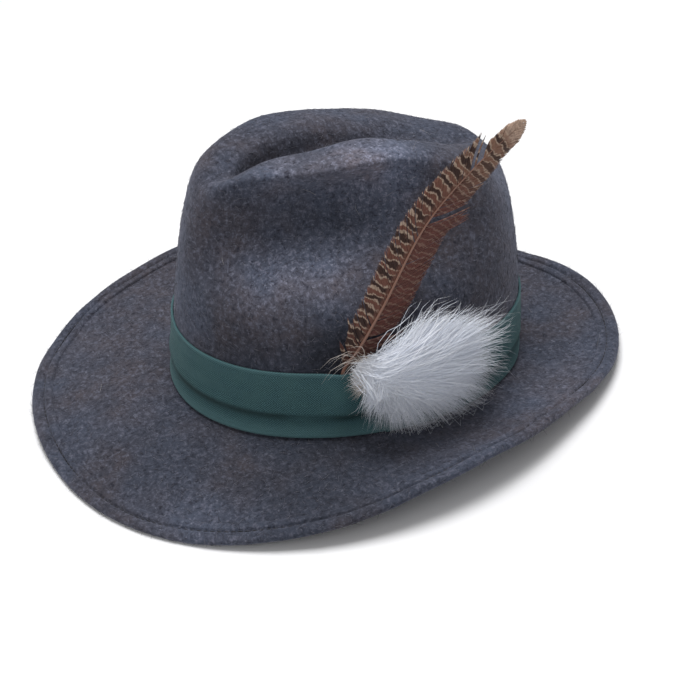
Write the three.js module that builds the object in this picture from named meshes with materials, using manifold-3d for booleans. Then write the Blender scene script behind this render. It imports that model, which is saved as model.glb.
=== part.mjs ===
// Tyrolean hat of grey wool felt, resting on a surface by itself: the crown and brim are one
// piece of felt, with a green ribbon band, a pheasant feather and a white marabou plume.
// Millimetres, +Z up. The front of the hat faces -Y and the wearer's left side is +X.
import * as THREE from 'three';
import { mergeVertices } from 'three/addons/utils/BufferGeometryUtils.js';
import Module from 'manifold-3d';

// Head opening and felt
const HEAD_LENGTH = 195; // inside the crown, front to back
const HEAD_WIDTH = 170;
const FELT = 2.2;
const CROWN_HEIGHT = 140; // from the break line to the highest ridge
const CREASE_DEPTH = 21; // from the highest ridge down to the middle of the crease
const CREASE_FALL = 7; // how much lower the ends of the crease lie than its middle
const CREASE_PITCH = 3; // front end of the crease lower, back end higher
const CREASE_LENGTH = 116;
const CREASE_OFFSET = -1; // middle of the crease behind the middle of the head
const DENT_DEPTH = 36; // the deepest pinch in the wall
const DENT_EDGE = 4; // a higher power ends a pinch more sharply at its sides
const BREAK_ROLL = 1.5; // inside corner between brim and crown
const BREAK_SWAY = 5; // rise and fall of the break line
const CREASE_FLOOR = 0.04; // width of the crease's floor, as a share of the ridge's width
const RIDGE_ROUND = 0.6; // 0 to 1, how slowly the top leaves the ridge

// Brim
const BRIM_WIDTH = 80; // at the front, where it is widest
const BRIM_LIFT = 20; // how far the edge dips at the front and turns up at the sides
const BRIM_CURL = 0.65; // 0 is a straight brim, 1 bends only towards its edge
const HEM_WIDTH = 12; // edge of the brim turned over on its upper side
const HEM_THICKNESS = 1.5;
const STITCH_INSET = 7; // line of stitches that holds the hem down
const STITCH_GROOVE = 0.7;
const STITCH_SLOPE = 1; // from the line of stitches out to the hem's full thickness
const SETTLE = 1.4; // how far the felt flattens where it rests

// Ribbon band
const GAP = 0.3; // clearance between two pieces
const BAND_HEIGHT = 38; // its lower edge lies where the wall begins
const BAND_THICKNESS = 1.0;
const BAND_FOLD = 13; // height of the tuck that runs along the lower edge
const BAND_TUCK = 0.6; // how far that tuck stands out
const LAP_TURN = 80; // where the free end of the ribbon lies, in degrees from the front
const LAP_LENGTH = 26;
const LAP_STEP = 0.4; // length of the slope at the lap's free end

// Feather and plume
const QUILL_RADIUS = 1.1;
const QUILL_TURN = 67; // where the quill goes in behind the band
const QUILL_TUCK = 17; // length hidden behind the band
const QUILL_BARE = 5; // length above the band before the vane begins
const FEATHER_WIDTH = 26;
const FEATHER_TWIST = 14; // turn of the vane about the crown by its tip, in degrees
const VANE = 1.0;
const PLUME_TURN = 75;
const PLUME_REACH = 78; // longest lock
const PLUME_DEPTH = 24; // how far the plume stands out from the band
const PLUME_HEAD = 6; // radius of the bound head that the locks grow from
const LOCK_RADIUS = 5.2;
const LOCK_DROOP = 0.06; // how far a lock's end hangs, as a share of its length
const PLUME_CLEAR = 6; // lowest lock above the break line

const COLUMNS = 60;
const halfLength = HEAD_LENGTH / 2 + FELT;
const halfWidth = HEAD_WIDTH / 2 + FELT;
const radians = THREE.MathUtils.degToRad;

// Outline of the brim, one row every 30 degrees from the front towards the wearer's left:
// reach is a share of BRIM_WIDTH, lift of BRIM_LIFT and sway of BREAK_SWAY.
const BRIM = [
  { turn: 0, reach: 0.985, lift: -0.96, sway: -0.98 },
  { turn: 30, reach: 1.0, lift: -1.0, sway: -0.68 },
  { turn: 60, reach: 0.895, lift: -0.28, sway: -0.02 },
  { turn: 90, reach: 0.725, lift: 0.67, sway: 0.47 },
  { turn: 120, reach: 0.635, lift: 0.66, sway: 0.49 },
  { turn: 150, reach: 0.715, lift: 0.47, sway: 0.21 },
  { turn: 180, reach: 0.75, lift: 0.45, sway: 0.05 },
  { turn: 210, reach: 0.665, lift: 0.14, sway: 0.21 },
  { turn: 240, reach: 0.63, lift: 0.29, sway: 0.49 },
  { turn: 270, reach: 0.73, lift: 0.57, sway: 0.47 },
  { turn: 300, reach: 0.89, lift: -0.1, sway: -0.02 },
  { turn: 330, reach: 1.0, lift: -0.77, sway: -0.68 },
];

// Teardrop ridge round the top: across is a share of the half width, along of the half
// length and up of CROWN_HEIGHT. The ridge is narrow at the front and wide at the back.
const RIDGE = [
  { turn: 0, across: 0.0, along: -0.69, up: 0.865 },
  { turn: 30, across: 0.15, along: -0.58, up: 0.935 },
  { turn: 60, across: 0.26, along: -0.33, up: 0.965 },
  { turn: 90, across: 0.36, along: 0.02, up: 1.0 },
  { turn: 120, across: 0.39, along: 0.34, up: 0.962 },
  { turn: 150, across: 0.22, along: 0.62, up: 0.876 },
  { turn: 180, across: 0.0, along: 0.78, up: 0.821 },
  { turn: 210, across: -0.18, along: 0.74, up: 0.835 },
  { turn: 240, across: -0.29, along: 0.5, up: 0.869 },
  { turn: 270, across: -0.32, along: 0.14, up: 0.925 },
  { turn: 300, across: -0.3, along: -0.22, up: 0.957 },
  { turn: 330, across: -0.18, along: -0.53, up: 0.925 },
];

// Pinches in the wall, on the wearer's left and right: turn and spread in degrees, level,
// above and below as shares of the wall's height, depth as a share of DENT_DEPTH. Above its
// level a pinch stays deep and then turns out under the ridge, below it slopes out softly.
const DENTS = [
  { turn: 64, spread: 48, level: 0.76, above: 0.21, below: 0.1, depth: 1.0 },
  { turn: -70, spread: 34, level: 0.8, above: 0.18, below: 0.11, depth: 0.38 },
];

// How the wall leans and rounds over into the ridge: mean, and change from side to front.
// A higher power rounds it later.
const LEAN = { mean: 0.21, front: 0.12, power: 1.5 };
const SHOULDER = { mean: 3.8, front: 1.4, least: 2.2 };

// Feather path above the band, as shares of the half width, half length and CROWN_HEIGHT.
const FEATHER_PATH = [
  { across: 0.995, along: -0.33, up: 0.418 },
  { across: 1.0, along: -0.21, up: 0.563 },
  { across: 0.93, along: 0.05, up: 0.835 },
  { across: 0.915, along: 0.32, up: 1.02 },
  { across: 0.9, along: 0.625, up: 1.17 },
];

// Widths of the vane as shares of FEATHER_WIDTH, on the front and back of the shaft, from
// the lowest barbs to the tip.
const VANE_OUTLINE = [
  { along: 0.0, front: 0.1, back: 0.1 },
  { along: 0.06, front: 0.24, back: 0.26 },
  { along: 0.15, front: 0.4, back: 0.42 },
  { along: 0.3, front: 0.45, back: 0.52 },
  { along: 0.46, front: 0.45, back: 0.55 },
  { along: 0.6, front: 0.45, back: 0.52 },
  { along: 0.65, front: 0.44, back: 0.58 },
  { along: 0.69, front: 0.44, back: 0.46 },
  { along: 0.82, front: 0.4, back: 0.4 },
  { along: 0.885, front: 0.38, back: 0.34 },
  { along: 0.91, front: 0.2, back: 0.3 },
  { along: 0.95, front: 0.17, back: 0.22 },
  { along: 0.985, front: 0.12, back: 0.12 },
  { along: 1.0, front: 0.03, back: 0.03 },
];

// Reach of the plume's locks as a share of PLUME_REACH, by their angle above the back.
const PLUME_FAN = [
  { angle: -150, reach: 0.16 },
  { angle: -95, reach: 0.3 },
  { angle: -68, reach: 0.5 },
  { angle: -33, reach: 0.76 },
  { angle: -8, reach: 1.0 },
  { angle: 20, reach: 0.98 },
  { angle: 45, reach: 0.8 },
  { angle: 66, reach: 0.62 },
  { angle: 120, reach: 0.2 },
  { angle: 180, reach: 0.16 },
];

// The plume's layers from the band outwards: layer is a share of the plume's depth, and
// reach the share of its longest locks.
const PLUME_LAYERS = [
  { layer: 0.0, locks: 13, reach: 1.0 },
  { layer: 0.55, locks: 12, reach: 0.92 },
  { layer: 1.0, locks: 9, reach: 0.78 },
];

// Smooth closed curve through evenly spaced values (Catmull-Rom).
function around(rows, key, u) {
  const count = rows.length;
  const place = (u / (2 * Math.PI)) * count;
  const first = Math.floor(place);
  const f = place - first;
  const [a, b, c, d] = [-1, 0, 1, 2].map((k) => rows[(((first + k) % count) + count) % count][key]);
  const bend = (2 * a - 5 * b + 4 * c - d) * f ** 2;
  const twist = (3 * b - a - 3 * c + d) * f ** 3;
  return 0.5 * (2 * b + (c - a) * f + bend + twist);
}

// Value between the rows of a table, by the column named in key.
function between(rows, key, at, value) {
  const next = Math.max(1, rows.findIndex((row) => row[key] >= at));
  const low = rows[next - 1];
  const high = rows[next];
  const f = THREE.MathUtils.clamp((at - low[key]) / (high[key] - low[key]), 0, 1);
  return THREE.MathUtils.lerp(low[value], high[value], f);
}

// Break line, where brim and crown meet, and the direction out from it.
function breakPoint(u) {
  const rise = BREAK_SWAY * around(BRIM, 'sway', u);
  return new THREE.Vector3(halfWidth * Math.sin(u), -halfLength * Math.cos(u), rise);
}

function outward(u) {
  return new THREE.Vector3(Math.sin(u) / halfWidth, -Math.cos(u) / halfLength, 0).normalize();
}

function brimWidth(u) {
  return BRIM_WIDTH * around(BRIM, 'reach', u);
}

function ridgePoint(u) {
  return new THREE.Vector3(
    halfWidth * around(RIDGE, 'across', u),
    halfLength * around(RIDGE, 'along', u),
    CROWN_HEIGHT * around(RIDGE, 'up', u),
  );
}

function pinch(u, climb) {
  let push = 0;
  for (const dent of DENTS) {
    const turn = THREE.MathUtils.euclideanModulo(u - radians(dent.turn) + Math.PI, 2 * Math.PI) - Math.PI;
    const side = Math.exp(-((turn / radians(dent.spread)) ** DENT_EDGE));
    const far = climb - dent.level;
    const over = Math.exp(-((far / dent.above) ** 4));
    const under = Math.exp(-0.5 * (far / dent.below) ** 2);
    push += DENT_DEPTH * dent.depth * side * (far > 0 ? over : under);
  }
  return push;
}

// The four stretches of the felt's outer surface, each from 0 to 1.
const STRETCHES = {
  brim(u, t) {
    const foot = breakPoint(u);
    const rise = BRIM_LIFT * around(BRIM, 'lift', u) - foot.z;
    const out = THREE.MathUtils.lerp(BREAK_ROLL, brimWidth(u), t);
    const point = foot.clone().addScaledVector(outward(u), out);
    point.z += rise * THREE.MathUtils.lerp(t, t * t, BRIM_CURL);
    return point;
  },
  roll(u, t) {
    const angle = (t * Math.PI) / 2;
    const point = breakPoint(u).addScaledVector(outward(u), BREAK_ROLL * (1 - Math.sin(angle)));
    point.z += BREAK_ROLL * (1 - Math.cos(angle));
    return point;
  },
  wall(u, t) {
    const foot = breakPoint(u);
    const ridge = ridgePoint(u);
    const start = BREAK_ROLL / (ridge.z - foot.z);
    const climb = start + (1 - start) * t;
    const lean = LEAN.mean + LEAN.front * Math.cos(u);
    const power = Math.max(SHOULDER.mean + SHOULDER.front * Math.cos(u), SHOULDER.least);
    const round = 1 - (1 - Math.min(climb, 1) ** power) ** (1 / power);
    const draw = lean * climb ** LEAN.power + (1 - lean) * round;
    const point = foot.clone().lerp(ridge, draw).addScaledVector(outward(u), -pinch(u, climb));
    point.z = THREE.MathUtils.lerp(foot.z, ridge.z, climb);
    return point;
  },
  top(u, t) {
    const ridge = STRETCHES.wall(u, 1);
    const c = Math.cos(u);
    const crease = new THREE.Vector3(
      ridge.x * CREASE_FLOOR,
      CREASE_OFFSET - (CREASE_LENGTH / 2) * c,
      CROWN_HEIGHT - CREASE_DEPTH - CREASE_PITCH * c - CREASE_FALL * c * c,
    );
    const slow = (RIDGE_ROUND * Math.sin(2 * Math.PI * t)) / (2 * Math.PI);
    const point = ridge.clone().lerp(crease, t + slow);
    point.z = THREE.MathUtils.lerp(ridge.z, crease.z, t * t * (3 - 2 * t));
    return point;
  },
};

// A point of the felt: on one stretch, raised from the outer surface along its normal.
function feltPoint(stretch, u, t, raise) {
  const surface = STRETCHES[stretch];
  const point = surface(u, t);
  const step = 0.004;
  const end = Math.min(t + step, 1);
  const along = surface(u, end).sub(surface(u, end - 2 * step));
  const across = surface(u + step, t).sub(surface(u - step, t));
  const normal = across.cross(along).normalize();
  return point.addScaledVector(stretch === 'brim' ? normal.negate() : normal, raise);
}

// Place along the wall at a height above the break line.
function wallShare(u, height) {
  const tall = ridgePoint(u).z - breakPoint(u).z;
  return (height - BREAK_ROLL) / (tall - BREAK_ROLL);
}

// Sections of the felt as closed rings round the hat, from the inside of the crease down the
// inside, out under the brim, over its hem and back up the outside to the crease.
const TOP_SHARES = [1.0, 0.78, 0.5, 0.28, 0.12];
const WALL_SHARES = [1.0, 0.995, 0.98, 0.955, 0.925, 0.89, 0.85, 0.8, 0.74, 0.66, 0.54, 0.36, 0.15];
const ROLL_SHARES = [1.0, 0.5, 0.0];
const BRIM_SHARES = [0.2, 0.4, 0.6, 0.8, 1.0];
const toHem = (share) => (u) => share * (1 - HEM_WIDTH / brimWidth(u));
const inset = (length) => (u) => 1 - length / brimWidth(u);
const fixed = (share) => () => share;

function skin(raise) {
  return [
    ...TOP_SHARES.map((share) => ({ stretch: 'top', at: fixed(share), raise })),
    ...WALL_SHARES.map((share) => ({ stretch: 'wall', at: fixed(share), raise })),
    ...ROLL_SHARES.map((share) => ({ stretch: 'roll', at: fixed(share), raise })),
    ...BRIM_SHARES.map((share) => ({ stretch: 'brim', at: toHem(share), raise })),
  ];
}

const EDGE = FELT + HEM_THICKNESS; // both layers at the edge
const HEM = [
  { stretch: 'brim', at: inset(HEM_WIDTH * 0.33), raise: -FELT },
  { stretch: 'brim', at: inset(EDGE * 0.35), raise: -FELT },
  { stretch: 'brim', at: inset(EDGE * 0.08), raise: -FELT + EDGE * 0.2 },
  { stretch: 'brim', at: inset(0), raise: -FELT + EDGE * 0.5 },
  { stretch: 'brim', at: inset(EDGE * 0.08), raise: -FELT + EDGE * 0.8 },
  { stretch: 'brim', at: inset(EDGE * 0.35), raise: HEM_THICKNESS },
  { stretch: 'brim', at: inset(STITCH_INSET - STITCH_SLOPE), raise: HEM_THICKNESS },
  { stretch: 'brim', at: inset(STITCH_INSET), raise: HEM_THICKNESS - STITCH_GROOVE },
  { stretch: 'brim', at: inset(STITCH_INSET + STITCH_SLOPE), raise: HEM_THICKNESS },
  { stretch: 'brim', at: inset(HEM_WIDTH * 0.95), raise: HEM_THICKNESS },
];

const columns = Array.from({ length: COLUMNS }, (_, i) => (i / COLUMNS) * 2 * Math.PI);

// The hat tips back until the front edge and the brim behind the crown are equally low, and
// then sinks by SETTLE, which the felt takes up by flattening.
function findRest() {
  const under = skin(-FELT).concat(HEM.slice(0, 3));
  const points = columns.flatMap((u) =>
    under.map(({ stretch, at, raise }) => feltPoint(stretch, u, at(u), raise)));
  const level = (point, tilt) => point.z * Math.cos(tilt) - point.y * Math.sin(tilt);
  const lowest = (tilt, side) =>
    Math.min(...points.filter((point) => point.y * side > 0).map((point) => level(point, tilt)));
  let low = radians(-20);
  let high = radians(20);
  while (high - low > 1e-9) {
    const middle = (low + high) / 2;
    if (lowest(middle, -1) < lowest(middle, 1)) low = middle;
    else high = middle;
  }
  return { tilt: low, floor: lowest(low, 1) + SETTLE };
}

const rest = findRest();

// From the hat's own frame to the surface it rests on. No point comes lower than level.
function settle(point, level = 0) {
  const { x, y, z } = point;
  const up = z * Math.cos(rest.tilt) - y * Math.sin(rest.tilt) - rest.floor;
  return new THREE.Vector3(x, y * Math.cos(rest.tilt) + z * Math.sin(rest.tilt), Math.max(up, level));
}

// A closed body through rings of points. Its two ends are closed across the rings, or the
// last ring joins the first.
function loft(rings, joined = false) {
  const count = rings[0].length;
  const index = [];
  const quad = (a, b, c, d) => index.push([a, b, c], [a, c, d]);
  for (let r = 0; r < rings.length - (joined ? 0 : 1); r++) {
    const next = ((r + 1) % rings.length) * count;
    for (let i = 0; i < count; i++) {
      const j = (i + 1) % count;
      quad(r * count + i, r * count + j, next + j, next + i);
    }
  }
  const end = (rings.length - 1) * count;
  for (let i = 0; !joined && i < count / 2; i++) {
    const [a, b, c, d] = [i, i + 1, (count - i - 1) % count, (count - i) % count];
    quad(a, d, c, b);
    quad(end + a, end + b, end + c, end + d);
  }
  const corners = index.filter(([a, b, c]) => a !== b && b !== c && c !== a);
  const points = rings.flat();
  const cone = ([a, b, c]) => points[a].dot(points[b].clone().cross(points[c]));
  const volume = corners.reduce((sum, corner) => sum + cone(corner), 0);
  const faces = volume > 0 ? corners : corners.map(([a, b, c]) => [a, c, b]);
  const geometry = new THREE.BufferGeometry().setFromPoints(points);
  geometry.setIndex(faces.flat());
  return geometry;
}

function feltBody() {
  const sections = [...skin(-FELT), ...HEM, ...skin(0).reverse()];
  const rings = sections.map(({ stretch, at, raise }) =>
    columns.map((u) => settle(feltPoint(stretch, u, at(u), raise), raise + FELT)));
  return loft(rings);
}

// Upper edge of the band, above the break line, and the lower end of the pocket behind it
// that the quill is tucked in, above the lower edge.
const bandTop = BREAK_ROLL + BAND_HEIGHT;
const pocketFloor = BAND_HEIGHT - QUILL_TUCK - 2 * QUILL_RADIUS;

// How far the quill behind it pushes the band out, above the pocket's floor.
function bandBulge(u, height) {
  const arc = (u - radians(QUILL_TURN)) * halfLength;
  const share = THREE.MathUtils.clamp(height / pocketFloor, 0, 1);
  return share * (2 * QUILL_RADIUS + GAP) * Math.exp(-0.5 * (arc / (5 * QUILL_RADIUS)) ** 2);
}

function bandPoint(u, height, raise) {
  return feltPoint('wall', u, wallShare(u, BREAK_ROLL + height), GAP + bandBulge(u, height) + raise);
}

const lapStart = radians(LAP_TURN);
const lapEnd = lapStart + LAP_LENGTH / halfLength;

function hatBand() {
  const lapStep = LAP_STEP / halfLength;
  const bulgeStep = (3 * QUILL_RADIUS) / halfLength;
  const bulge = [-3, -2, -1, 0, 1, 2, 3].map((k) => radians(QUILL_TURN) + k * bulgeStep);
  const lap = [lapStart - lapStep, lapStart, lapEnd, lapEnd + 10 * lapStep];
  const turns = [...columns, ...bulge, ...lap].sort((a, b) => a - b);
  const apart = turns.filter((u, i) => i === 0 || u - turns[i - 1] > lapStep / 2);
  const rings = apart.map((u) => {
    const layer = u >= lapStart && u <= lapEnd ? 2 * BAND_THICKNESS : BAND_THICKNESS;
    return [
      bandPoint(u, 0, 0),
      bandPoint(u, pocketFloor, 0),
      bandPoint(u, BAND_HEIGHT, 0),
      bandPoint(u, BAND_HEIGHT, layer),
      bandPoint(u, BAND_FOLD + 2 * BAND_TUCK, layer),
      bandPoint(u, BAND_FOLD, layer + BAND_TUCK),
      bandPoint(u, 0, layer + BAND_TUCK),
    ].map((point) => settle(point));
  });
  return loft(rings, true);
}

function feather() {
  const turn = radians(QUILL_TURN);
  const quill = (height) => feltPoint('wall', turn, wallShare(turn, height), GAP + QUILL_RADIUS);
  const path = FEATHER_PATH.map(({ across, along, up }) =>
    new THREE.Vector3(across * halfWidth, along * halfLength, up * CROWN_HEIGHT));
  const knots = [quill(bandTop - QUILL_TUCK), quill(bandTop), ...path];
  const curve = new THREE.CatmullRomCurve3(knots, false, 'centripetal');
  const length = curve.getLength();
  const bare = (QUILL_TUCK + QUILL_BARE) / length;
  const rows = [0, 0.35, 0.7].map((share) => ({ at: share * bare, front: 0, back: 0 }));
  const steps = 30;
  for (let i = 0; i <= steps; i++) {
    const along = i / steps;
    const front = FEATHER_WIDTH * between(VANE_OUTLINE, 'along', along, 'front');
    const back = FEATHER_WIDTH * between(VANE_OUTLINE, 'along', along, 'back');
    rows.push({ at: bare + (1 - bare) * along, front, back });
  }
  const rings = rows.map(({ at, front, back }) => {
    const centre = curve.getPointAt(at);
    const tangent = curve.getTangentAt(at);
    const face = outward(turn + radians(FEATHER_TWIST) * at);
    const ahead = face.clone().cross(tangent).normalize();
    const normal = tangent.clone().cross(ahead);
    const shaft = QUILL_RADIUS * (1 - 0.75 * at);
    const [wide, deep] = [Math.max(front, shaft), Math.max(back, shaft)];
    const blade = Math.min(Math.max(0.87 * shaft, VANE / 2), shaft);
    const section = [[wide, 0], [wide / 2, blade], [0, shaft], [-deep / 2, blade],
      [-deep, 0], [-deep / 2, -blade], [0, -shaft], [wide / 2, -blade]];
    return section.map(([a, b]) =>
      settle(centre.clone().addScaledVector(ahead, a).addScaledVector(normal, b)));
  });
  return loft(rings);
}

// How far the middle of the plume's head stands out from the wall, clear of the band.
const headOut = GAP + 2 * BAND_THICKNESS + BAND_TUCK + GAP + PLUME_HEAD;

// A lock of the plume: a tapered curl that leaves the head at an angle above the back, stands
// out from the band by its layer (0 to 1) and droops towards its end.
function lock(angle, reach, layer) {
  const endOut = angle > radians(25) ? headOut : headOut * 0.65;
  const place = (f) => {
    const s = reach * f * Math.cos(angle);
    const free = bandTop + reach * f * Math.sin(angle) - LOCK_DROOP * reach * f * f;
    const height = Math.max(free, PLUME_CLEAR);
    const rise = layer * (PLUME_DEPTH - headOut) * Math.sin(Math.PI * f ** 0.7);
    const out = THREE.MathUtils.lerp(headOut, endOut, f * f) + rise;
    const u = radians(PLUME_TURN) + s / halfLength;
    return breakPoint(u).addScaledVector(outward(u), out).add(new THREE.Vector3(0, 0, height));
  };
  const sides = 5;
  const thickness = [0.7, 1.0, 0.7, 0.1];
  const rings = thickness.map((share, k) => {
    const f = k / (thickness.length - 1);
    const tangent = place(Math.min(f + 0.02, 1)).sub(place(Math.max(f - 0.02, 0))).normalize();
    const side = tangent.clone().cross(new THREE.Vector3(0, 0, 1)).normalize();
    const over = tangent.clone().cross(side);
    return Array.from({ length: sides }, (_, i) => {
      const a = (i / sides) * 2 * Math.PI;
      const r = LOCK_RADIUS * share;
      return settle(place(f).addScaledVector(side, r * Math.cos(a)).addScaledVector(over, r * Math.sin(a)));
    });
  });
  return loft(rings);
}

const wasm = await Module();
wasm.setup();

function toSolid(geometry) {
  const bare = geometry.clone();
  bare.deleteAttribute('normal');
  bare.deleteAttribute('uv');
  const merged = mergeVertices(bare, 1e-5);
  return new wasm.Manifold(new wasm.Mesh({
    numProp: 3,
    vertProperties: new Float32Array(merged.attributes.position.array),
    triVerts: new Uint32Array(merged.index.array),
  }));
}

// The outer body alone: small hollows left between fused locks are filled.
function fromSolid(solid) {
  const [body] = solid.decompose().sort((a, b) => b.volume() - a.volume());
  const mesh = body.getMesh();
  const geometry = new THREE.BufferGeometry();
  geometry.setAttribute('position', new THREE.BufferAttribute(mesh.vertProperties, 3));
  geometry.setIndex(new THREE.BufferAttribute(mesh.triVerts, 1));
  return geometry;
}

// White plume: locks in three layers, fused to the bound head over the top of the band.
function plume() {
  const u = radians(PLUME_TURN);
  const centre = breakPoint(u).addScaledVector(outward(u), headOut);
  centre.z += bandTop;
  const head = new THREE.SphereGeometry(PLUME_HEAD, 12, 8);
  head.translate(...settle(centre));
  let solid = toSolid(head);
  const first = PLUME_FAN[0].angle;
  for (const { layer, locks, reach: longest } of PLUME_LAYERS) {
    for (let k = 0; k < locks; k++) {
      const place = (k + 0.5 * (layer > 0.5)) / locks;
      const degrees = first + place * 2 * Math.abs(first) + 5 * Math.sin(7 * k + 9 * layer);
      const uneven = 1 + 0.07 * Math.sin(11 * k + 5 * layer);
      const reach = PLUME_REACH * longest * uneven * between(PLUME_FAN, 'angle', degrees, 'reach');
      solid = solid.add(toSolid(lock(radians(degrees), reach, layer)));
    }
  }
  return fromSolid(solid);
}

function piece(name, geometry, color, roughness) {
  const mesh = new THREE.Mesh(geometry, new THREE.MeshStandardMaterial({ color, roughness, metalness: 0 }));
  mesh.name = name;
  return mesh;
}

const group = new THREE.Group();
group.add(piece('felt_body', feltBody(), 0x4a4b54, 0.95));
group.add(piece('hat_band', hatBand(), 0x2d504b, 0.8));
group.add(piece('feather', feather(), 0x7a4a33, 0.7));
group.add(piece('plume', plume(), 0xe6e9ef, 0.9));

// The origin lies under the middle of the hat, on the surface that it rests on.
const middle = new THREE.Box3().setFromObject(group).getCenter(new THREE.Vector3());
group.position.set(-middle.x, -middle.y, 0);

export default group;
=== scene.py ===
# %% [markdown]
# A Tyrolean hat in grey wool felt, with a green ribbon, a pheasant's feather and a plume of
# white down. The solids of the hat come first, as a frame that nothing here may move or
# resize. Every piece below is then made over them, in metres, in the same place.

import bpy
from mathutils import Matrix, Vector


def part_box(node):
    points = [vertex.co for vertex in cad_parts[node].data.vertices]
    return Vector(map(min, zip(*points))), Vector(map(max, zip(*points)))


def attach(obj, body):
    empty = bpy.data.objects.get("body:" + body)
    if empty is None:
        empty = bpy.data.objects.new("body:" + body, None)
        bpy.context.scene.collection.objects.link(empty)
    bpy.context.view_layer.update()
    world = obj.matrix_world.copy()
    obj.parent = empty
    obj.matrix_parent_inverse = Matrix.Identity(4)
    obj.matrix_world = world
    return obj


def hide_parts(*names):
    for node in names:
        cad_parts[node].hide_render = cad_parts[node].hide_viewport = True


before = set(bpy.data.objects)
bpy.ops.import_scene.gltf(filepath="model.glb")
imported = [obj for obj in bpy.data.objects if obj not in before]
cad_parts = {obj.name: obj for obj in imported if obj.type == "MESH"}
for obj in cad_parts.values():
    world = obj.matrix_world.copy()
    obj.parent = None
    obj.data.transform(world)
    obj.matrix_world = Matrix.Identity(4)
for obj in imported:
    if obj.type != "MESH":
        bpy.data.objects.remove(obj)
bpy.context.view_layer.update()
print("solids:", sorted(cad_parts))

# %% [markdown]
# Felt is blocked wet over a wooden form, so its shape is one smooth surface from the middle of
# the crease to the edge of the brim. The sizes below are those that the solids were made
# from, in millimetres, with the front of the hat at -Y and the wearer's left at +X.

# %% Sizes of the hat
import math

import bpy
import numpy as np
from mathutils import Matrix, Vector, noise

MM = 0.001
HEAD_LENGTH, HEAD_WIDTH, FELT = 195, 170, 2.2
CROWN_HEIGHT, DENT_DEPTH, DENT_EDGE = 140, 36, 4
CREASE_DEPTH, CREASE_FALL, CREASE_PITCH = 21, 7, 3
CREASE_LENGTH, CREASE_OFFSET, CREASE_FLOOR = 116, -1, 0.04
RIDGE_ROUND, BREAK_ROLL, BREAK_SWAY = 0.6, 1.5, 5
BRIM_WIDTH, BRIM_LIFT, BRIM_CURL = 80, 20, 0.65
HEM_WIDTH, HEM_THICKNESS, STITCH_INSET, STITCH_GROOVE, SETTLE = 12, 1.5, 7, 0.7, 1.4
GAP, BAND_HEIGHT, BAND_THICKNESS, BAND_TUCK = 0.3, 38, 1.0, 0.6
LAP_TURN, LAP_LENGTH, LAP_STEP = 80, 26, 0.4
QUILL_RADIUS, QUILL_TURN, QUILL_TUCK, QUILL_BARE = 1.1, 67, 17, 5
FEATHER_WIDTH, FEATHER_TWIST = 26, 14
PLUME_TURN, PLUME_REACH, PLUME_DEPTH, PLUME_HEAD = 75, 78, 24, 6
HALF_LENGTH = HEAD_LENGTH / 2 + FELT
HALF_WIDTH = HEAD_WIDTH / 2 + FELT
BAND_TOP = BREAK_ROLL + BAND_HEIGHT
print("foot of the crown:", round(2 * HALF_LENGTH, 1), "by", round(2 * HALF_WIDTH, 1), "mm")

# %% [markdown]
# The brim and the ridge of the crown change round the head, so each is a short table with one
# value every 30 degrees from the front towards the wearer's left. They are shares of the sizes
# above. A smooth closed curve runs through them.

# %% Outlines round the head
BRIM = {
    "reach": [0.985, 1.0, 0.895, 0.725, 0.635, 0.715, 0.75, 0.665, 0.63, 0.73, 0.89, 1.0],
    "lift": [-0.96, -1.0, -0.28, 0.67, 0.66, 0.47, 0.45, 0.14, 0.29, 0.57, -0.1, -0.77],
    "sway": [-0.98, -0.68, -0.02, 0.47, 0.49, 0.21, 0.05, 0.21, 0.49, 0.47, -0.02, -0.68],
}
RIDGE = {
    "across": [0.0, 0.15, 0.26, 0.36, 0.39, 0.22, 0.0, -0.18, -0.29, -0.32, -0.3, -0.18],
    "along": [-0.69, -0.58, -0.33, 0.02, 0.34, 0.62, 0.78, 0.74, 0.5, 0.14, -0.22, -0.53],
    "up": [0.865, 0.935, 0.965, 1.0, 0.962, 0.876, 0.821, 0.835, 0.869, 0.925, 0.957, 0.925],
}
DENTS = [
    {"turn": 64, "spread": 48, "level": 0.76, "above": 0.21, "below": 0.1, "depth": 1.0},
    {"turn": -70, "spread": 34, "level": 0.8, "above": 0.18, "below": 0.11, "depth": 0.38},
]
LEAN = {"mean": 0.21, "front": 0.12, "power": 1.5}
SHOULDER = {"mean": 3.8, "front": 1.4, "least": 2.2}


def around(values, u):
    """Smooth closed curve through evenly spaced values, at the turns u in radians."""
    values = np.array(values)
    place = np.asarray(u) / (2 * np.pi) * len(values)
    first = np.floor(place).astype(int)
    f = place - first
    a, b, c, d = (values[(first + k) % len(values)] for k in (-1, 0, 1, 2))
    bend = (2 * a - 5 * b + 4 * c - d) * f**2
    twist = (3 * b - a - 3 * c + d) * f**3
    return 0.5 * (2 * b + (c - a) * f + bend + twist)


def mix(a, b, f):
    """The value f of the way from a to b, for numbers and for points."""
    f = np.asarray(f)
    return a + (b - a) * (f[..., None] if np.ndim(b) > np.ndim(f) else f)


def unit(vectors):
    """The same directions with length 1."""
    return vectors / np.linalg.norm(vectors, axis=-1, keepdims=True)


def break_point(u):
    """Where brim and crown meet."""
    rise = BREAK_SWAY * around(BRIM["sway"], u)
    return np.stack([HALF_WIDTH * np.sin(u), -HALF_LENGTH * np.cos(u), rise], -1)


def outward(u):
    """Level direction out from the crown."""
    return unit(np.stack([np.sin(u) / HALF_WIDTH, -np.cos(u) / HALF_LENGTH, 0 * u], -1))


def ridge_point(u):
    """The highest line of the crown."""
    sizes = (("across", HALF_WIDTH), ("along", HALF_LENGTH), ("up", CROWN_HEIGHT))
    return np.stack([size * around(RIDGE[key], u) for key, size in sizes], -1)


def brim_width(u):
    """From the break line out to the edge."""
    return BRIM_WIDTH * around(BRIM["reach"], u)


quarters = np.radians([0, 90, 180, 270])
print("brim in front, left, behind, right:", brim_width(quarters).round(1), "mm")

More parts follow.
